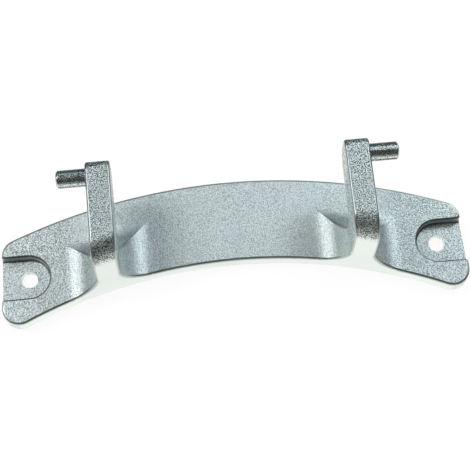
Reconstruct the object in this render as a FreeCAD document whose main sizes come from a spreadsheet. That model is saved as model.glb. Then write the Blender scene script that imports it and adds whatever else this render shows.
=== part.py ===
import FreeCAD, Part
import math
import os
import Sketcher

os.makedirs("parts", exist_ok=True)
doc = FreeCAD.newDocument("door_hinge")

# Frame: X runs along the chord of the arc, Y from the inner edge of the plate to its
# outer edge, Z up from the flat back. The origin lies on the back, midway between the
# two screw holes.

sizes = {
    # screw holes and plate
    "hole_span": 165.0,
    "hole_bore": 6.6,
    "plate_thick": 7.0,
    "inner_radius": 204.0,
    "plate_width": 33.8,
    "hole_inset": 0.2,
    "end_margin": 10.7,
    "end_slant": 2.0,
    "outer_corner_share": 1.467,
    "inner_corner_share": 0.5025,
    # open pocket round each screw hole
    "pocket_radius": 8.6,
    "floor_thick": 2.7,
    "pocket_foot": 0.6,
    # gooseneck arms
    "arm_gap": 18.95,
    "arm_width": 9.65,
    "arm_depth": 16.0,
    "arm_reach": 33.6,
    "stem_depth": 11.3,
    "bend_round": 10.0,
    "nose_round": 4.0,
    "chin_round": 8.0,
    "arch_round": 7.0,
    "stem_rise": 0.6,
    # concave flares at the foot of each stem
    "flare_radius": 12.5,
    "flare_sink": 0.1,
    # pivot pins
    "pin_bore": 7.0,
    "pin_length": 11.4,
    "pin_inset": 5.35,
    "pin_drop": 5.4,
    "pin_round": 0.8,
    # cast edges
    "arm_edge": 1.0,
    "brim_edge": 0.7,
    "foot_edge": 0.4,
    # cored back
    "core_wall": 4.0,
    "core_depth": 4.0,
    "core_gap": 13.5,
    "core_round": 2.5,
    "rib_width": 3.0,
    # how far the drawn shapes run past the casting before they are cut or cut it
    "front_spare": 20.0,
    "throat_spare": 40.0,
    "mouth_spare": 5.0,
    "throat_turn": 60.0,
}

sheet = doc.addObject("Spreadsheet::Sheet", "sheet")
for row, (word, amount) in enumerate(sizes.items(), start=1):
    sheet.set("A%d" % row, word)
    sheet.set("B%d" % row, str(amount))
    sheet.setAlias("B%d" % row, word)
doc.recompute()


def size(word):
    """The value that the sheet holds under an alias."""
    return float(getattr(sheet, word))


# Numbers of the ends of an edge, of its centre and of a sketch's own origin and axes.
START, END, CENTRE = range(1, 4)
ACROSS, UPRIGHT = range(-1, -3, -1)
ORIGIN = (ACROSS, START)

# Two lengths in mm that differ by less than this are the same, and no straight edge that
# is looked for is shorter than the second one.
TOUCH = 0.01
LEAST = 1.0

body = doc.addObject("PartDesign::Body", "hinge_casting")
body.Label = "hinge_casting"


def origin_plane(role):
    """The body's own origin plane with this role."""
    for item in body.Origin.OriginFeatures:
        if item.Role == role:
            return item
    raise ValueError(role)


def new_sketch(name, role, offsets):
    """A sketch on an origin plane, moved by rules along its own axes."""
    sketch = body.newObject("Sketcher::SketchObject", name)
    sketch.AttachmentSupport = [(origin_plane(role), "")]
    sketch.MapMode = "FlatFace"
    for axis, rule in offsets.items():
        sketch.setExpression("AttachmentOffset.Base." + axis, rule)
    doc.recompute()
    return sketch


def at(x, y):
    """A point in the plane of a sketch."""
    return FreeCAD.Vector(x, y, 0)


def line(sketch, start, end):
    """Add a straight edge and return its number."""
    return sketch.addGeometry(Part.LineSegment(at(*start), at(*end)), False)


def circle(sketch, centre, radius):
    """Add a full circle and return its number."""
    whole = Part.Circle(at(*centre), FreeCAD.Vector(0, 0, 1), radius)
    return sketch.addGeometry(whole, False)


def arc(sketch, centre, radius, first, last):
    """Add an arc that runs anticlockwise between two angles in degrees."""
    whole = Part.Circle(at(*centre), FreeCAD.Vector(0, 0, 1), radius)
    piece = Part.ArcOfCircle(whole, math.radians(first), math.radians(last))
    return sketch.addGeometry(piece, False)


def tie(sketch, kind, *parts):
    """Add a constraint that holds no size."""
    return sketch.addConstraint(Sketcher.Constraint(kind, *parts))


def drive(sketch, name, rule, kind, *parts):
    """Add a constraint whose size follows a rule over the sheet."""
    number = sketch.addConstraint(Sketcher.Constraint(kind, *parts))
    sketch.renameConstraint(number, name)
    sketch.setExpression("Constraints." + name, rule)
    return number


def edges_where(feature, test):
    """Names of the edges of a feature that pass a test of their shape."""
    names = []
    for number, edge in enumerate(feature.Shape.Edges, start=1):
        if test(edge):
            names.append("Edge%d" % number)
    return names


def built(feature, change):
    """Recompute and make sure that the feature adds or takes material as it should."""
    before = feature.BaseFeature.Shape.Volume
    doc.recompute()
    if "Invalid" in feature.State or "Error" in feature.State:
        raise ValueError(feature.Name + " failed")
    if (feature.Shape.Volume - before) * change < 0:
        raise ValueError(feature.Name + " works the wrong way")
    return feature


def dress(kind, name, base, test, setting, rule):
    """Round or bevel the edges of the solid so far that pass a test."""
    names = edges_where(base, test)
    if not names:
        raise ValueError("no edge for " + name)
    feature = body.newObject(kind, name)
    feature.Base = (base, names)
    feature.setExpression(setting, rule)
    doc.recompute()
    if "Invalid" in feature.State or "Error" in feature.State:
        raise ValueError(name + " failed")
    return feature


def fillet(name, base, test, rule):
    """Round the edges that pass a test."""
    return dress("PartDesign::Fillet", name, base, test, "Radius", rule)


def bevel(name, base, test, rule):
    """Bevel the edges that pass a test."""
    return dress("PartDesign::Chamfer", name, base, test, "Size", rule)


def cut(kind, name, profile):
    """Start a feature that takes material away."""
    feature = body.newObject(kind, name)
    feature.Profile = profile
    return feature


def mirrored(name, original):
    """The same feature again on the other side of the middle."""
    feature = body.newObject("PartDesign::Mirrored", name)
    feature.Originals = [original]
    feature.MirrorPlane = (origin_plane("YZ_Plane"), [""])
    body.Tip = feature
    doc.recompute()
    return feature


def middle(edge):
    """The point halfway along an edge."""
    return edge.valueAt((edge.FirstParameter + edge.LastParameter) / 2)


def turn_radius(point):
    """Distance of a point from the upright axis through the arc's centre."""
    return math.hypot(point.x, point.y + back)


def upright(edge):
    """True for a straight edge that stands upright."""
    box = edge.BoundBox
    return box.XLength < TOUCH and box.YLength < TOUCH and box.ZLength > LEAST


def on_arc(edge, radius):
    """True for an edge whose middle lies on an arc about the plate's centre."""
    return abs(turn_radius(middle(edge)) - radius) < TOUCH


def along_x(edge):
    """True for a straight edge that runs along X."""
    box = edge.BoundBox
    return box.YLength < TOUCH and box.ZLength < TOUCH and box.XLength > LEAST


# Rules over the sheet that more than one feature follows, and what they come to.
hole_rule = "sheet.hole_span / 2"
end_rule = "(sheet.hole_span / 2 + sheet.end_margin)"
outer_rule = "(sheet.inner_radius + sheet.plate_width)"
pitch_rule = "(sheet.inner_radius + sheet.plate_width / 2 - sheet.hole_inset)"
centre_rule = "sqrt(" + pitch_rule + "^2 - (sheet.hole_span / 2)^2)"
far_rule = "(sheet.hole_span / 2 - sheet.pocket_radius - sheet.arm_gap)"
rise_foot_rule = "(sheet.plate_thick + sheet.flare_radius - sheet.flare_sink)"
spring_rule = "(" + rise_foot_rule + " + sheet.stem_rise)"
top_rule = "(" + spring_rule + " + sheet.arch_round + sheet.arm_depth)"
hole_x = size("hole_span") / 2
end_x = hole_x + size("end_margin")
inner_r = size("inner_radius")
outer_r = inner_r + size("plate_width")
pitch_r = inner_r + size("plate_width") / 2 - size("hole_inset")
back = math.sqrt(pitch_r * pitch_r - hole_x * hole_x)
thick = size("plate_thick")
pocket_r = size("pocket_radius")
far = hole_x - pocket_r - size("arm_gap")
near = far - size("arm_width")
flare = size("flare_radius")
rise_foot = thick + flare - size("flare_sink")
spring = rise_foot + size("stem_rise")
soffit = spring + size("arch_round")
top = soffit + size("arm_depth")
reach = size("arm_reach")
slant = math.tan(math.radians(size("end_slant")))


def end_corner(radius):
    """Where the slanted end line meets an arc of the plate."""
    steep = 1 + slant * slant
    lag = back - slant * end_x
    rest = end_x * end_x + back * back - radius * radius
    y = (math.sqrt(lag * lag - steep * rest) - lag) / steep
    return end_x - slant * y, y


# The plate: a flat ring sector whose two ends slant slightly, with four rounded corners.
outline = new_sketch("plate_outline", "XY_Plane", {})
outer_end = end_corner(outer_r)
inner_end = end_corner(inner_r)
outer_turn = math.degrees(math.atan2(outer_end[1] + back, outer_end[0]))
inner_turn = math.degrees(math.atan2(inner_end[1] + back, inner_end[0]))
outer = arc(outline, (0, -back), outer_r, outer_turn, 180 - outer_turn)
inner = arc(outline, (0, -back), inner_r, inner_turn, 180 - inner_turn)
right_end = line(outline, inner_end, outer_end)
left_end = line(outline, (-inner_end[0], inner_end[1]), (-outer_end[0], outer_end[1]))
tie(outline, "Coincident", right_end, START, inner, START)
tie(outline, "Coincident", right_end, END, outer, START)
tie(outline, "Coincident", left_end, START, inner, END)
tie(outline, "Coincident", left_end, END, outer, END)
tie(outline, "Coincident", inner, CENTRE, outer, CENTRE)
tie(outline, "PointOnObject", outer, CENTRE, UPRIGHT)
tie(outline, "Symmetric", outer, START, outer, END, UPRIGHT)
tie(outline, "Symmetric", inner, START, inner, END, UPRIGHT)
end_point = outline.addGeometry(Part.Point(at(end_x, 0)), True)
tie(outline, "PointOnObject", end_point, START, ACROSS)
tie(outline, "PointOnObject", end_point, START, right_end)
drive(outline, "reach", end_rule, "DistanceX", *ORIGIN, end_point, START, end_x)
drive(outline, "centre", centre_rule, "DistanceY", outer, CENTRE, *ORIGIN, back)
drive(outline, "outer", outer_rule, "Radius", outer, outer_r)
drive(outline, "inner", "sheet.inner_radius", "Radius", inner, inner_r)
lean = math.radians(90 + size("end_slant"))
drive(outline, "slant", "(90 + sheet.end_slant) * 1 deg", "Angle", right_end, lean)

plate = body.newObject("PartDesign::Pad", "plate")
plate.Profile = outline
plate.setExpression("Length", "sheet.plate_thick")
doc.recompute()

# The corners of the plate are rounded by a share of the land that the pocket leaves at
# each end: the land above it for the outer two, and below it for the inner two.
brim_rule = "(sheet.pocket_radius + sheet.brim_edge)"
outer_land = "(sqrt(" + outer_rule + "^2 - " + end_rule + "^2) - " + centre_rule + " - " + brim_rule + ")"
inner_land = "(" + centre_rule + " - sqrt(sheet.inner_radius^2 - " + end_rule + "^2) - " + brim_rule + ")"
outer_corners = fillet(
    "outer_corners", plate, lambda edge: upright(edge) and middle(edge).y > 0,
    "sheet.outer_corner_share * " + outer_land)
inner_corners = fillet(
    "inner_corners", outer_corners,
    lambda edge: upright(edge) and middle(edge).y < 0 and on_arc(edge, inner_r),
    "sheet.inner_corner_share * " + inner_land)

# One arm as seen from the front: a straight stem whose two sides run out on to the plate
# in wide concave flares. It is drawn at the reach of the arm and carried forward past
# the inner edge.
front = new_sketch("arm_front", "XZ_Plane", {"z": "-sheet.arm_reach"})
foot = line(front, (near - flare, thick / 2), (far + flare, thick / 2))
far_side = line(front, (far + flare, thick / 2), (far + flare, thick))
far_flare = arc(front, (far + flare, thick + flare), flare, 180, 270)
far_wall = line(front, (far, thick + flare), (far, top))
head = line(front, (far, top), (near, top))
near_wall = line(front, (near, top), (near, thick + flare))
near_flare = arc(front, (near - flare, thick + flare), flare, 270, 360)
near_side = line(front, (near - flare, thick), (near - flare, thick / 2))
tie(front, "Coincident", foot, END, far_side, START)
tie(front, "Coincident", far_side, END, far_flare, END)
tie(front, "Coincident", far_flare, START, far_wall, START)
tie(front, "Coincident", far_wall, END, head, START)
tie(front, "Coincident", head, END, near_wall, START)
tie(front, "Coincident", near_wall, END, near_flare, END)
tie(front, "Coincident", near_flare, START, near_side, START)
tie(front, "Coincident", near_side, END, foot, START)
tie(front, "Horizontal", foot)
tie(front, "Horizontal", head)
tie(front, "Vertical", far_side)
tie(front, "Vertical", near_side)
tie(front, "Vertical", far_wall)
tie(front, "Vertical", near_wall)
tie(front, "Vertical", far_flare, CENTRE, far_flare, END)
tie(front, "Horizontal", far_flare, CENTRE, far_flare, START)
tie(front, "Vertical", near_flare, CENTRE, near_flare, START)
tie(front, "Horizontal", near_flare, CENTRE, near_flare, END)
tie(front, "Equal", near_flare, far_flare)
tie(front, "Horizontal", near_flare, START, far_flare, END)
drive(front, "flare", "sheet.flare_radius", "Radius", far_flare, flare)
drive(front, "seat", "sheet.plate_thick", "DistanceY", *ORIGIN, far_flare, END, thick)
drive(front, "root", "sheet.plate_thick / 2", "DistanceY", *ORIGIN, foot, START, thick / 2)
drive(front, "height", top_rule, "DistanceY", *ORIGIN, head, START, top)
drive(front, "far", far_rule, "DistanceX", *ORIGIN, far_wall, START, far)
drive(front, "width", "sheet.arm_width", "DistanceX", near_wall, START, far_wall, END, far - near)

arm = body.newObject("PartDesign::Pad", "right_arm")
arm.Profile = front
arm.setExpression("Length", "sheet.arm_reach + sheet.front_spare")
doc.recompute()
arms = mirrored("both_arms", arm)

# The front of each stem is cut flush with the inner edge of the plate.
flush = new_sketch("inner_edge_line", "XY_Plane", {})
ring = circle(flush, (0, -back), inner_r)
tie(flush, "PointOnObject", ring, CENTRE, UPRIGHT)
drive(flush, "centre", centre_rule, "DistanceY", ring, CENTRE, *ORIGIN, back)
drive(flush, "radius", "sheet.inner_radius", "Radius", ring, inner_r)
front_cut = cut("PartDesign::Pocket", "front_cut", flush)
front_cut.Type = "ThroughAll"
front_cut.Midplane = True
built(front_cut, -1)

# The space under each arm, turned about the centre of the arc: a concave flare up the
# back of the stem, then the arch of the gooseneck and its level underside.
under = new_sketch("under_arm", "YZ_Plane", {"x": "-" + centre_rule})
rear = inner_r + size("stem_depth")
limit = rear + size("throat_spare")
drop = math.sqrt(flare * flare - (rise_foot - thick) ** 2)
meet = math.degrees(math.asin((rise_foot - thick) / flare))
arch = size("arch_round")
heel = arc(under, (rear + flare, rise_foot), flare, 180, 180 + meet)
rise = line(under, (rear, rise_foot), (rear, spring))
bow = arc(under, (rear + arch, spring), arch, 90, 180)
level = line(under, (rear + arch, soffit), (limit, soffit))
far_edge = line(under, (limit, soffit), (limit, 0))
base = line(under, (limit, 0), (outer_r, 0))
rim = line(under, (outer_r, 0), (outer_r, thick))
seat = line(under, (outer_r, thick), (rear + flare - drop, thick))
tie(under, "Coincident", heel, START, rise, START)
tie(under, "Coincident", rise, END, bow, END)
tie(under, "Coincident", bow, START, level, START)
tie(under, "Coincident", level, END, far_edge, START)
tie(under, "Coincident", far_edge, END, base, START)
tie(under, "Coincident", base, END, rim, START)
tie(under, "Coincident", rim, END, seat, START)
tie(under, "Coincident", seat, END, heel, END)
tie(under, "PointOnObject", base, START, ACROSS)
tie(under, "Horizontal", base)
tie(under, "Vertical", rim)
tie(under, "Vertical", rise)
tie(under, "Horizontal", level)
tie(under, "Vertical", far_edge)
tie(under, "Horizontal", seat)
tie(under, "Horizontal", heel, CENTRE, heel, START)
tie(under, "Horizontal", bow, CENTRE, bow, END)
tie(under, "Vertical", bow, CENTRE, bow, START)
rear_rule = "sheet.inner_radius + sheet.stem_depth"
drive(under, "rear", rear_rule, "DistanceX", *ORIGIN, rise, END, rear)
drive(under, "flare", "sheet.flare_radius", "Radius", heel, flare)
drive(under, "seat", "sheet.plate_thick", "DistanceY", *ORIGIN, seat, START, thick)
drive(under, "lift", rise_foot_rule, "DistanceY", *ORIGIN, heel, CENTRE, rise_foot)
drive(under, "spring", spring_rule, "DistanceY", *ORIGIN, bow, CENTRE, spring)
drive(under, "arch", "sheet.arch_round", "Radius", bow, arch)
drive(under, "rim", outer_rule, "DistanceX", *ORIGIN, rim, START, outer_r)
drive(under, "limit", rear_rule + " + sheet.throat_spare", "DistanceX", *ORIGIN, level, END, limit)
throat = cut("PartDesign::Groove", "throat", under)
throat.ReferenceAxis = (under, ["V_Axis"])
throat.setExpression("Angle", "sheet.throat_turn")
throat.Midplane = True
built(throat, -1)


def bend_line(edge):
    """The edge where the front of a stem meets the top of its arm."""
    point = middle(edge)
    return abs(point.z - top) < TOUCH and abs(turn_radius(point) - inner_r) < TOUCH


def tip_line(edge, height):
    """An edge along X at the free end of an arm, at this height."""
    point = middle(edge)
    return along_x(edge) and abs(point.z - height) < TOUCH and abs(point.y - reach) < TOUCH


def inner_line(edge):
    """Any upper line of the inner edge of the plate."""
    point = middle(edge)
    return abs(turn_radius(point) - inner_r) < TOUCH and abs(point.z - thick) < TOUCH


bends = fillet("bends", throat, bend_line, "sheet.bend_round")
noses = fillet("noses", bends, lambda edge: tip_line(edge, top), "sheet.nose_round")
chins = fillet("chins", noses, lambda edge: tip_line(edge, soffit), "sheet.chin_round")

# One round runs on from the inner edge of the plate up the flare and the stem, along the
# arm, round its free end and back under it. Outside the arms it also runs round the ends
# and the outer edge of the plate.
inner_sides = fillet(
    "inner_sides", chins, lambda edge: inner_line(edge) and abs(middle(edge).x) < near, "sheet.arm_edge")
outer_sides = fillet(
    "outer_sides", inner_sides, lambda edge: inner_line(edge) and abs(middle(edge).x) > far, "sheet.arm_edge")

# The open pocket round the right screw hole runs out through the end of the plate.
slot = new_sketch("pocket_line", "XY_Plane", {"z": "sheet.plate_thick"})
mouth = end_x + size("mouth_spare")
bowl = arc(slot, (hole_x, 0), pocket_r, 90, 270)
lower = line(slot, (hole_x, -pocket_r), (mouth, -pocket_r))
shut = line(slot, (mouth, -pocket_r), (mouth, pocket_r))
upper = line(slot, (mouth, pocket_r), (hole_x, pocket_r))
tie(slot, "Tangent", bowl, END, lower, START)
tie(slot, "Coincident", lower, END, shut, START)
tie(slot, "Coincident", shut, END, upper, START)
tie(slot, "Tangent", upper, END, bowl, START)
tie(slot, "Horizontal", lower)
tie(slot, "Vertical", shut)
tie(slot, "Horizontal", upper)
tie(slot, "PointOnObject", bowl, CENTRE, ACROSS)
drive(slot, "place", hole_rule, "DistanceX", *ORIGIN, bowl, CENTRE, hole_x)
drive(slot, "radius", "sheet.pocket_radius", "Radius", bowl, pocket_r)
drive(slot, "mouth", end_rule + " + sheet.mouth_spare", "DistanceX", *ORIGIN, shut, END, mouth)
pocket = cut("PartDesign::Pocket", "right_pocket", slot)
pocket.setExpression("Length", "sheet.plate_thick - sheet.floor_thick")
built(pocket, -1)
pockets = mirrored("both_pockets", pocket)


def pocket_foot(edge):
    """The line where the wall of a pocket meets its floor."""
    point = middle(edge)
    on_floor = abs(point.z - size("floor_thick")) < TOUCH
    at_mouth = abs(point.y) < pocket_r - TOUCH and abs(point.x) > hole_x + TOUCH
    return on_floor and not at_mouth


def pocket_brim(edge):
    """The upper line of a pocket."""
    point = middle(edge)
    beside_hole = abs(point.x) > hole_x - pocket_r - TOUCH and abs(point.y) < pocket_r + TOUCH
    return abs(point.z - thick) < TOUCH and beside_hole


feet = bevel("pocket_feet", pockets, pocket_foot, "sheet.pocket_foot")
brims = bevel("pocket_brims", feet, pocket_brim, "sheet.brim_edge")

# The two screw holes.
marks = new_sketch("hole_marks", "XY_Plane", {"z": "sheet.floor_thick"})
right_mark = circle(marks, (hole_x, 0), size("hole_bore") / 2)
left_mark = circle(marks, (-hole_x, 0), size("hole_bore") / 2)
tie(marks, "PointOnObject", right_mark, CENTRE, ACROSS)
tie(marks, "Symmetric", right_mark, CENTRE, left_mark, CENTRE, *ORIGIN)
tie(marks, "Equal", right_mark, left_mark)
drive(marks, "span", "sheet.hole_span", "DistanceX", left_mark, CENTRE, right_mark, CENTRE, 2 * hole_x)
drive(marks, "bore", "sheet.hole_bore", "Diameter", right_mark, size("hole_bore"))
doc.recompute()
holes = cut("PartDesign::Hole", "screw_holes", marks)
holes.DepthType = "ThroughAll"
holes.setExpression("Diameter", "sheet.hole_bore")
built(holes, -1)

# The back is cored out between the arms, which leaves a wall along both edges and two
# ribs between three cells of equal width.
cores = new_sketch("core_lines", "XY_Plane", {})
wall_in = inner_r + size("core_wall")
wall_out = outer_r - size("core_wall")
rib = size("rib_width")
half = near - size("core_gap")
cell = (half - rib) / 3


def height_on(radius, x):
    """Y of a point of an arc about the plate's centre."""
    return math.sqrt(radius * radius - x * x) - back


def turn_on(radius, x):
    """The angle of that point about the centre, in degrees."""
    return math.degrees(math.acos(x / radius))


def core_cell(left, right):
    """One closed cell of the cored back between two lines of constant X."""
    high = arc(cores, (0, -back), wall_out, turn_on(wall_out, right), turn_on(wall_out, left))
    low = arc(cores, (0, -back), wall_in, turn_on(wall_in, right), turn_on(wall_in, left))
    east = line(cores, (right, height_on(wall_in, right)), (right, height_on(wall_out, right)))
    west = line(cores, (left, height_on(wall_in, left)), (left, height_on(wall_out, left)))
    tie(cores, "Coincident", low, START, east, START)
    tie(cores, "Coincident", east, END, high, START)
    tie(cores, "Coincident", high, END, west, END)
    tie(cores, "Coincident", west, START, low, END)
    tie(cores, "Coincident", low, CENTRE, high, CENTRE)
    tie(cores, "Vertical", east)
    tie(cores, "Vertical", west)
    return high, low, east, west


mid_high, mid_low, mid_east, mid_west = core_cell(-cell, cell)
right_cell = core_cell(cell + rib, half)
left_cell = core_cell(-half, -cell - rib)
wall_out_rule = outer_rule + " - sheet.core_wall"
half_rule = "(" + far_rule + " - sheet.arm_width - sheet.core_gap)"
cell_rule = "(" + half_rule + " - sheet.rib_width) / 3"
tie(cores, "Symmetric", mid_east, START, mid_west, START, UPRIGHT)
drive(cores, "centre", centre_rule, "DistanceY", mid_high, CENTRE, *ORIGIN, back)
drive(cores, "outer", wall_out_rule, "Radius", mid_high, wall_out)
drive(cores, "inner", "sheet.inner_radius + sheet.core_wall", "Radius", mid_low, wall_in)
drive(cores, "cell", cell_rule, "DistanceX", *ORIGIN, mid_east, START, cell)
for high, low, east, west in (right_cell, left_cell):
    tie(cores, "Coincident", high, CENTRE, mid_high, CENTRE)
    tie(cores, "Equal", high, mid_high)
    tie(cores, "Equal", low, mid_low)
drive(cores, "right_rib", "sheet.rib_width", "DistanceX", mid_east, START, right_cell[3], START, rib)
drive(cores, "left_rib", "sheet.rib_width", "DistanceX", left_cell[2], START, mid_west, START, rib)
drive(cores, "right_half", half_rule, "DistanceX", *ORIGIN, right_cell[2], START, half)
drive(cores, "left_half", half_rule, "DistanceX", left_cell[3], START, *ORIGIN, half)
core = cut("PartDesign::Pocket", "cored_back", cores)
core.Reversed = True
core.setExpression("Length", "sheet.core_depth")
built(core, -1)


def core_corner(edge):
    """An upright corner of a cored cell."""
    point = middle(edge)
    return upright(edge) and abs(point.x) < half + TOUCH and point.z < size("core_depth")


def back_line(edge):
    """Any line of the casting's outline on the back."""
    point = middle(edge)
    in_the_middle = abs(point.x) < hole_x + size("hole_bore")
    in_the_walls = wall_in - TOUCH < turn_radius(point) < wall_out + TOUCH
    return abs(point.z) < TOUCH and not (in_the_middle and in_the_walls)


core_rounds = fillet("core_corners", core, core_corner, "sheet.core_round")
hems = bevel("back_edges", core_rounds, back_line, "sheet.foot_edge")

# A pivot pin cast on the outer side of each arm.
pin_ring = new_sketch("pin_ring", "YZ_Plane", {"z": far_rule})
pin_y = reach - size("pin_inset")
pin_z = top - size("pin_drop")
pin_line = circle(pin_ring, (pin_y, pin_z), size("pin_bore") / 2)
drive(pin_ring, "across", "sheet.pin_bore", "Diameter", pin_line, size("pin_bore"))
drive(pin_ring, "set", "sheet.arm_reach - sheet.pin_inset", "DistanceX", *ORIGIN, pin_line, CENTRE, pin_y)
drive(pin_ring, "height", top_rule + " - sheet.pin_drop", "DistanceY", *ORIGIN, pin_line, CENTRE, pin_z)
pin = body.newObject("PartDesign::Pad", "right_pin")
pin.Profile = pin_ring
pin.setExpression("Length", "sheet.pin_length")
built(pin, 1)
pins = mirrored("both_pins", pin)


def pin_tip(edge):
    """The outer circle of a pin."""
    return abs(abs(middle(edge).x) - far - size("pin_length")) < TOUCH


tips = bevel("pin_tips", pins, pin_tip, "sheet.pin_round")
body.Tip = tips
doc.recompute()

for item in doc.Objects:
    if "Invalid" in item.State or "Error" in item.State:
        raise ValueError(item.Name + " is not built")
shape = body.Shape
if shape.isNull() or not shape.isValid() or len(shape.Solids) != 1:
    raise ValueError("hinge_casting is not one sound solid")
shape.exportStep("parts/hinge_casting.step")
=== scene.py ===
import bpy
import math
from mathutils import Matrix, Vector


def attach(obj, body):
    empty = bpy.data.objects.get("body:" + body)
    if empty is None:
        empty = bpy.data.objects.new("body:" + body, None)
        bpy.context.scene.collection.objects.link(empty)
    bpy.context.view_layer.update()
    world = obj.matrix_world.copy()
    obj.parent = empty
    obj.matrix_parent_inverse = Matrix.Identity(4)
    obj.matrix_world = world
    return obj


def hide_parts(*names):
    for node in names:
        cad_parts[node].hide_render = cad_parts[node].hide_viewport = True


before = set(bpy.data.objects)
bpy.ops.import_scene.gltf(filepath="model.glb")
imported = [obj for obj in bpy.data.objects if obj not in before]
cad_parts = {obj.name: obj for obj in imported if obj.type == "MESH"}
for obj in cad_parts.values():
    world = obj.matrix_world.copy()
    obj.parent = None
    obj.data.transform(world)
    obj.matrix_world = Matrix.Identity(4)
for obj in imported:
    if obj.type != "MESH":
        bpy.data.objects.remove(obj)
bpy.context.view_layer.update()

# Sizes are in metres, in the frame of the part: X along the chord of the arc, Y from the
# inner edge of the plate to its outer edge, Z up from the flat back. Where a pair of
# values isn't described, a change begins at the first and is complete at the second.
MM = 0.001

# The camera stands where the photograph's did: the point it looks at, its distance, how
# far it leans sideways and towards the inner edge, and its turn about its own axis. The
# lens and the width of the sensor are in millimetres, and the last pair is the nearest
# and the farthest distance that it shows.
AIM = Vector((1.48 * MM, 12.29 * MM, 0.0))
DISTANCE = 558.9 * MM
LEAN_ASIDE = math.radians(2.31)
LEAN_FRONT = math.radians(18.733)
TURN = math.radians(5.855)
LENS = 104.75
SENSOR = 36.0
CLIP = (0.05, 20.0)

# Sizes of the marks in the blasted casting skin, and how deep its grain is.
GRAIN = 0.43 * MM
DIMPLE = 1.3 * MM
CLOUD = 9.0 * MM
RELIEF = 0.18 * MM

# Flecks are mostly grain, the rest dimples. Flecks and clouds appear between these
# values of their noise.
GRAIN_SHARE = 0.85
FLECK_RANGE = (0.42, 0.58)
CLOUD_RANGE = (0.40, 0.66)

# The skin is calmer in the middle of the plate: half the length of the calm part, its
# upper limit, the strength of the flecks there, and the share of the relief that is the
# same everywhere.
CALM_HALF = (60 * MM, 70 * MM)
CALM_TOP = (15 * MM, 24 * MM)
CALM_FLECKS = 0.55
STEADY_RELIEF = 0.7

# The flush inner face is smooth: the radius of its arc, how far the centre of the arc lies
# from the origin towards -Y, and how far beyond the arc the smooth face ends.
INNER_RADIUS = 204.0 * MM
ARC_BACK = 204.7 * MM
FLUSH_FADE = 1.2 * MM

# The pins begin here, outwards and upwards.
PIN_ROOT = (54.9 * MM, 55.4 * MM)
PIN_RISE = (28 * MM, 31 * MM)

# Strength that the flecks gain on the arms and lose on the pins, and the shares of the
# relief that rims and pins lose, because they are rubbed smoother.
ARM_FLECKS = 0.6
PIN_FLECKS = 0.7
RIM_CALM = 0.8
PIN_CALM = 0.6

# The skin's tone between dark and bright metal, and the painted shade that darkens the arms and
# the rims.
SKIN_TONE = 0.86
ARM_SHADE = 0.14
RIM_SHADE = 0.36
DARK_METAL = (0.04, 0.05, 0.045, 1.0)
BRIGHT_METAL = (0.88, 0.98, 0.96, 1.0)

# Colours laid over that tone, and how much of them: in the clouds, and a painted shade on the
# brims and feet of the open pockets.
CLOUD_METAL = (0.71, 0.81, 0.80, 1.0)
CLOUD_COVER = 0.15
BRIM_SHADE = (0.10, 0.12, 0.12, 1.0)
BRIM_SHADE_COVER = 0.75

# Roughness of the skin, what bright flecks add to it, and what coarse skin, rims and pins
# take off.
ROUGHNESS = 0.53
FLECK_ROUGH = 0.08
COARSE_SHINE = 0.10
RIM_SHINE = 0.06
PIN_SHINE = 0.18

# The table lies a little below the flat back, so that the two faces stay apart. It shows white,
# with a share of its shadow left. In the metal's reflections it glows as a painted pool of light
# round one place, dark farther off, with painted shade behind the casting.
TABLE_SIDE = 6.0
TABLE_DROP = 0.2 * MM
TABLE_WHITE = (1.0, 1.0, 1.0, 1.0)
TABLE_CLOTH = (0.86, 0.86, 0.86, 1.0)
SHADOW_SHARE = 0.10
LIT_TABLE = (0.0, -0.08, 0.0)
TABLE_FADE = (0.14, 0.28)
TABLE_REAR = (0.045, 0.075)
REAR_DIMMING = 0.7
DARK_TABLE = (0.06, 0.11, 0.11, 1.0)
BRIGHT_TABLE = (1.0, 0.95, 0.92, 1.0)
BRIGHT_STRENGTH = 1.20

# The room is white to the eye and for the table. The metal mirrors it dim in front and
# behind, and brighter low down in the middle of the front. The pairs are parts of a
# direction of length 1: towards the back, to either side and upwards.
ROOM_WHITE = (1.0, 1.0, 1.0, 1.0)
ROOM_FRONT = (0.043, 0.044, 0.040, 1.0)
ROOM_REAR = (0.043, 0.051, 0.069, 1.0)
ROOM_LOW = (0.44, 0.44, 0.41, 1.0)
REAR_WAY = (-0.10, 0.35)
SIDE_WAY = (0.45, 0.80)
UPWARD_WAY = (0.04, 0.50)

# The soft lamps all look at the middle of the casting from one distance. Each has its
# name, its angles off the zenith in degrees, to the right and to the back, its width and
# height, its brightness and its tint.
LAMP_DISTANCE = 1.2
LAMPS = (
    ("lamp_left", -38, 14, 0.36, 0.46, 10.2, (0.96, 0.95, 0.97)),
    ("lamp_right", 38, 36, 0.32, 0.46, 8.4, (0.91, 0.96, 1.0)),
    ("lamp_above", 14, 19, 0.30, 0.46, 0.9, (0.89, 0.96, 1.0)),
    ("lamp_behind", 0, 43, 0.70, 0.30, 0.8, (0.93, 0.98, 1.0)),
)

# Neighbouring faces that turn less than this are shaded as one surface, those of a flat
# only if they turn less than the second angle. Points nearer than the weld are one point.
SMOOTH_TURN = math.radians(50)
FACET_TURN = math.radians(8)
WELD = 0.001 * MM

# A face lies on a flat if one direction takes this much of its normal. A face that isn't
# flat and bends outwards more than this, in radians for each metre, lies on a rim.
FLAT = 0.998
RIM_BEND = 450.0

# The open pockets: how far from the middle they begin, how far from the line through the
# screws they reach, the height above which a rim is their brim, and the two heights
# between which the feet of their walls lie.
BRIM_X = 73 * MM
BRIM_Y = 9.5 * MM
BRIM_Z = 5.5 * MM
FOOT_Z = (2.72 * MM, 3.4 * MM)


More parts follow.
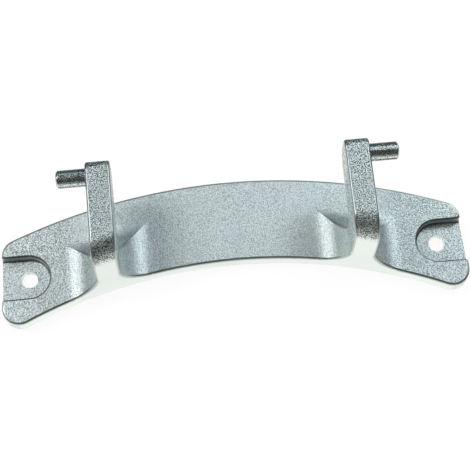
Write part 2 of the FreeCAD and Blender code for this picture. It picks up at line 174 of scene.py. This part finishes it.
class Wire:
    """A socket or a plain number, on which arithmetic adds the nodes that it needs."""

    def __init__(self, tree, source):
        self.tree = tree
        self.source = source

    def math(self, operation, *others):
        node = self.tree.nodes.new("ShaderNodeMath")
        node.operation = operation
        for socket, value in zip(node.inputs, (self, *others)):
            plug(self.tree, socket, value)
        return Wire(self.tree, node.outputs[0])

    def __add__(self, other):
        return self.math("ADD", other)

    def __radd__(self, other):
        return self.math("ADD", other)

    def __sub__(self, other):
        return self.math("SUBTRACT", other)

    def __rsub__(self, other):
        return Wire(self.tree, other).math("SUBTRACT", self)

    def __mul__(self, other):
        return self.math("MULTIPLY", other)

    def __rmul__(self, other):
        return self.math("MULTIPLY", other)

    def __truediv__(self, other):
        return self.math("DIVIDE", other)

    def __rtruediv__(self, other):
        return Wire(self.tree, other).math("DIVIDE", self)


def plug(tree, socket, value):
    """Link a wire to a socket, or set the socket to a plain value."""
    if isinstance(value, Wire):
        value = value.source
    if isinstance(value, bpy.types.NodeSocket):
        tree.links.new(value, socket)
    else:
        socket.default_value = value


class Bench:
    """The node tree of one material or of the world, emptied."""

    def __init__(self, tree):
        self.tree = tree
        tree.nodes.clear()

    def add(self, kind, settings, sockets, out=0):
        """A node of this type with its settings, then its sockets' values or links."""
        node = self.tree.nodes.new(kind)
        for word, value in settings.items():
            setattr(node, word, value)
        for name, value in sockets.items():
            plug(self.tree, node.inputs[name], value)
        return Wire(self.tree, node.outputs[out]) if node.outputs else None

    def split(self, place):
        """The three coordinates of a place."""
        first = self.add("ShaderNodeSeparateXYZ", {}, {0: place})
        return [Wire(self.tree, socket) for socket in first.source.node.outputs]

    def noise(self, place, size, detail):
        """Soft noise whose marks have this size."""
        return self.add(
            "ShaderNodeTexNoise", {}, {"Vector": place, "Scale": 1 / size, "Detail": detail})

    def ease(self, value, low, high):
        """0 below the low value, 1 above the high one and a smooth way between them."""
        return self.add(
            "ShaderNodeMapRange", {"interpolation_type": "SMOOTHSTEP"},
            {"Value": value, "From Min": low, "From Max": high})

    def mix(self, factor, first, second):
        """Two colours mixed by a factor. The sockets share names, so they go by number."""
        sockets = {0: factor, 6: first, 7: second}
        return self.add("ShaderNodeMix", {"data_type": "RGBA"}, sockets, out=2)


def new_material(name):
    """An empty node material and its bench."""
    material = bpy.data.materials.new(name)
    material.use_nodes = True
    return material, Bench(material.node_tree)


def beyond_inner_edge(along, across):
    """How far a place lies outside the arc of the inner edge."""
    away = across + ARC_BACK
    return (along * along + away * away).math("SQRT") - INNER_RADIUS


def cast_skin():
    """The fine-grained, bluish silver skin of a blasted die casting, with painted shade on its
    arms, its rims, and the brims and feet of its pockets.
    """
    material, bench = new_material("cast_skin")
    place = bench.add("ShaderNodeTexCoord", {}, {}, out="Object")
    along, across, height = bench.split(place)
    grain = bench.noise(place, GRAIN, 1.0)
    dimple = bench.noise(place, DIMPLE, 2.0)
    cloud = bench.noise(place, CLOUD, 3.0)
    rim = bench.add("ShaderNodeAttribute", {"attribute_name": "rim"}, {}, out="Fac")
    brim = bench.add("ShaderNodeAttribute", {"attribute_name": "brim"}, {}, out="Fac")

    outboard = bench.ease(along.math("ABSOLUTE"), *CALM_HALF)
    raised = bench.ease(height, *CALM_TOP)
    coarse = outboard.math("MAXIMUM", raised) * (1 - CALM_FLECKS) + CALM_FLECKS
    beyond = beyond_inner_edge(along, across) / FLUSH_FADE
    smooth = rim.math("MAXIMUM", 1 - bench.ease(beyond, 0.0, 1.0))
    pin = bench.ease(along.math("ABSOLUTE"), *PIN_ROOT) * bench.ease(height, *PIN_RISE)

    marks = grain * GRAIN_SHARE + dimple * (1 - GRAIN_SHARE)
    fleck = bench.ease(marks, *FLECK_RANGE) - 0.5
    strength = coarse + raised * ARM_FLECKS - pin * PIN_FLECKS
    # Painted shade: the raised arms and the rims are darkened, which also dims the rims'
    # highlights.
    speck = (fleck * strength - raised * ARM_SHADE) * (1 - smooth)
    tone = bench.mix(speck + SKIN_TONE - rim * RIM_SHADE, DARK_METAL, BRIGHT_METAL)
    tone = bench.mix(bench.ease(cloud, *CLOUD_RANGE) * CLOUD_COVER, tone, CLOUD_METAL)
    # Painted shade on the brims and feet of the open pockets.
    tone = bench.mix(brim * BRIM_SHADE_COVER, tone, BRIM_SHADE)

    depth = coarse * (1 - STEADY_RELIEF) + STEADY_RELIEF
    depth = depth * (1 - smooth * RIM_CALM) * (1 - pin * PIN_CALM)
    relief = bench.add(
        "ShaderNodeBump", {}, {"Strength": depth, "Distance": RELIEF, "Height": grain})
    rough = ROUGHNESS - coarse * COARSE_SHINE + fleck * FLECK_ROUGH
    rough = rough - rim * RIM_SHINE - pin * PIN_SHINE
    skin = bench.add(
        "ShaderNodeBsdfPrincipled", {},
        {"Base Color": tone, "Metallic": 1.0, "Roughness": rough, "Normal": relief})
    bench.add("ShaderNodeOutputMaterial", {}, {"Surface": skin})
    return material


def pale_floor():
    """A white studio table: it shows white, and keeps a faint shadow of the object."""
    material, bench = new_material("pale_floor")
    seen = bench.add("ShaderNodeLightPath", {}, {}, out="Is Camera Ray")
    mirrored = bench.add("ShaderNodeLightPath", {}, {}, out="Is Glossy Ray")
    place = bench.add("ShaderNodeTexCoord", {}, {}, out="Object")
    away = bench.add(
        "ShaderNodeVectorMath", {"operation": "DISTANCE"}, {0: place, 1: LIT_TABLE}, out="Value")
    rear = bench.ease(bench.split(place)[1], *TABLE_REAR)
    lit = (1 - bench.ease(away, *TABLE_FADE)) * (1 - rear * REAR_DIMMING)
    glow = bench.add("ShaderNodeEmission", {}, {"Color": TABLE_WHITE})
    cloth = bench.add("ShaderNodeBsdfDiffuse", {}, {"Color": TABLE_CLOTH})
    dark = bench.add("ShaderNodeEmission", {}, {"Color": DARK_TABLE})
    bright = bench.add(
        "ShaderNodeEmission", {}, {"Color": BRIGHT_TABLE, "Strength": BRIGHT_STRENGTH})
    # Mirrored rays see the table glow: a painted pool of light that fades to dark, with painted
    # shade behind the casting.
    below = bench.add("ShaderNodeMixShader", {}, {"Fac": lit, 1: dark, 2: bright})
    shown = bench.add(
        "ShaderNodeMixShader", {}, {"Fac": seen * (1 - SHADOW_SHARE), 1: cloth, 2: glow})
    shown = bench.add("ShaderNodeMixShader", {}, {"Fac": mirrored, 1: shown, 2: below})
    bench.add("ShaderNodeOutputMaterial", {}, {"Surface": shown})
    return material


def flat_face(centre, normal):
    """True for a face of the plate, of the sides of an arm or of the flush inner face."""
    out = Vector((centre.x, centre.y + ARC_BACK, 0.0)).normalized()
    return max(abs(normal.x), abs(normal.y), abs(normal.z), abs(normal.dot(out))) > FLAT


def outward_bends(mesh):
    """How sharply each triangle bends outwards to a neighbour, in radians for each metre."""
    sides = {}
    for face in mesh.polygons:
        for key in face.edge_keys:
            sides.setdefault(key, []).append(face)
    bends = [0.0] * len(mesh.polygons)
    for (start, end), pair in sides.items():
        if len(pair) != 2:
            continue
        first, second = pair
        turn = first.normal.angle(second.normal, 0.0)
        if (second.center - first.center).dot(first.normal) >= 0 or turn > SMOOTH_TURN:
            continue
        length = (mesh.vertices[end].co - mesh.vertices[start].co).length
        for face in pair:
            # A triangle is 2 * area / length wide across this edge.
            bends[face.index] = max(bends[face.index], turn * length / (2 * face.area))
    return bends


def mark_rims(mesh):
    """Mark narrow rounds and bevels as rims, and the brims and feet of the pockets as brims;
    both marks carry painted shade.
    """
    bends = outward_bends(mesh)
    rims = mesh.attributes.new("rim", "FLOAT", "FACE")
    brims = mesh.attributes.new("brim", "FLOAT", "FACE")
    for face in mesh.polygons:
        place = face.center
        on_rim = bends[face.index] > RIM_BEND and not flat_face(place, face.normal)
        at_pocket = abs(place.x) > BRIM_X and abs(place.y) < BRIM_Y
        on_brim = on_rim and place.z > BRIM_Z
        on_foot = FOOT_Z[0] < place.z < FOOT_Z[1]
        rims.data[face.index].value = 1.0 if on_rim else 0.0
        brims.data[face.index].value = 1.0 if at_pocket and (on_brim or on_foot) else 0.0


def soft_normals(mesh):
    """Give each corner its normal, so that rounds and bevels run smoothly into the flats."""
    flat = [flat_face(face.center, face.normal) for face in mesh.polygons]
    around = [[] for point in mesh.vertices]
    for face in mesh.polygons:
        for index in face.vertices:
            around[index].append(face)
    corners = []
    for face in mesh.polygons:
        limit = math.cos(FACET_TURN if flat[face.index] else SMOOTH_TURN)
        for index in face.vertices:
            near = [other for other in around[index] if other.normal.dot(face.normal) > limit]
            level = [other for other in near if flat[other.index]]
            total = Vector((0.0, 0.0, 0.0))
            for other in level or near:
                total += other.normal * other.area
            corners.append(total.normalized() if total.length > 0 else face.normal)
    mesh.shade_smooth()
    mesh.normals_split_custom_set(corners)


def dress_casting():
    """The casting with its skin, its rounds and bevels shaded as one soft surface."""
    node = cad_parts["hinge_casting"]
    casting = bpy.data.objects.new("cast_hinge", node.data.copy())
    bpy.context.scene.collection.objects.link(casting)
    bpy.ops.object.select_all(action="DESELECT")
    casting.select_set(True)
    bpy.context.view_layer.objects.active = casting
    bpy.ops.object.mode_set(mode="EDIT")
    bpy.ops.mesh.select_all(action="SELECT")
    bpy.ops.mesh.remove_doubles(threshold=WELD)
    bpy.ops.object.mode_set(mode="OBJECT")
    mark_rims(casting.data)
    soft_normals(casting.data)
    casting.data.materials.clear()
    casting.data.materials.append(cast_skin())
    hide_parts("hinge_casting")
    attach(casting, "root")


def lay_floor():
    """The table that the casting lies on."""
    bpy.ops.object.select_all(action="DESELECT")
    bpy.ops.mesh.primitive_plane_add(size=TABLE_SIDE, location=(0.0, 0.0, -TABLE_DROP))
    floor = bpy.context.object
    floor.name = "floor"
    floor.data.materials.append(pale_floor())


def softbox(name, aside, behind, width, height, brightness, tint):
    """One soft rectangular lamp that looks at the middle of the casting."""
    lamp = bpy.data.lights.new(name, "AREA")
    lamp.shape = "RECTANGLE"
    lamp.size = width
    lamp.size_y = height
    lamp.energy = brightness * math.pi * width * height
    lamp.color = tint
    way = Vector((math.tan(math.radians(aside)), math.tan(math.radians(behind)), 1.0))
    place = way.normalized() * LAMP_DISTANCE
    middle = Vector((0.0, 0.0, 0.0))
    turn = (middle - place).to_track_quat("-Z", "Y").to_matrix().to_4x4()
    holder = bpy.data.objects.new(name, lamp)
    bpy.context.scene.collection.objects.link(holder)
    holder.matrix_world = Matrix.Translation(place) @ turn


def studio_light():
    """Soft lamps on the left, the right and above, and a wide one beyond the outer edge."""
    for lamp in LAMPS:
        softbox(*lamp)


def room():
    """The room round the table."""
    world = bpy.data.worlds.new("room")
    bpy.context.scene.world = world
    world.use_nodes = True
    bench = Bench(world.node_tree)
    ray = bench.add("ShaderNodeTexCoord", {}, {}, out="Generated")
    aside, behind, height = bench.split(ray)
    back = bench.ease(behind, *REAR_WAY)
    dim = bench.mix(back, ROOM_FRONT, ROOM_REAR)
    middle = 1 - bench.ease(aside.math("ABSOLUTE"), *SIDE_WAY)
    low = (1 - bench.ease(height, *UPWARD_WAY)) * middle * (1 - back)
    dim = bench.mix(low, dim, ROOM_LOW)
    mirrored = bench.add("ShaderNodeLightPath", {}, {}, out="Is Glossy Ray")
    shown = bench.mix(mirrored, ROOM_WHITE, dim)
    sky = bench.add("ShaderNodeBackground", {}, {"Color": shown})
    bench.add("ShaderNodeOutputWorld", {}, {"Surface": sky})


def photo_camera():
    """The camera at the photograph's place."""
    back = Vector((-math.tan(LEAN_ASIDE), -math.tan(LEAN_FRONT), 1.0)).normalized()
    up = Vector((0.0, 1.0, 0.0))
    up = (up - back * up.dot(back)).normalized()
    right = up.cross(back)
    wide = math.cos(TURN) * right - math.sin(TURN) * up
    tall = math.sin(TURN) * right + math.cos(TURN) * up
    camera = bpy.data.cameras.new("camera")
    camera.lens = LENS
    camera.sensor_width = SENSOR
    camera.clip_start, camera.clip_end = CLIP
    holder = bpy.data.objects.new("camera", camera)
    bpy.context.scene.collection.objects.link(holder)
    turn = Matrix((wide, tall, back)).transposed().to_4x4()
    holder.matrix_world = Matrix.Translation(AIM + back * DISTANCE) @ turn
    bpy.context.scene.camera = holder


dress_casting()
lay_floor()
studio_light()
room()
photo_camera()
bpy.context.scene.view_settings.view_transform = "Standard"
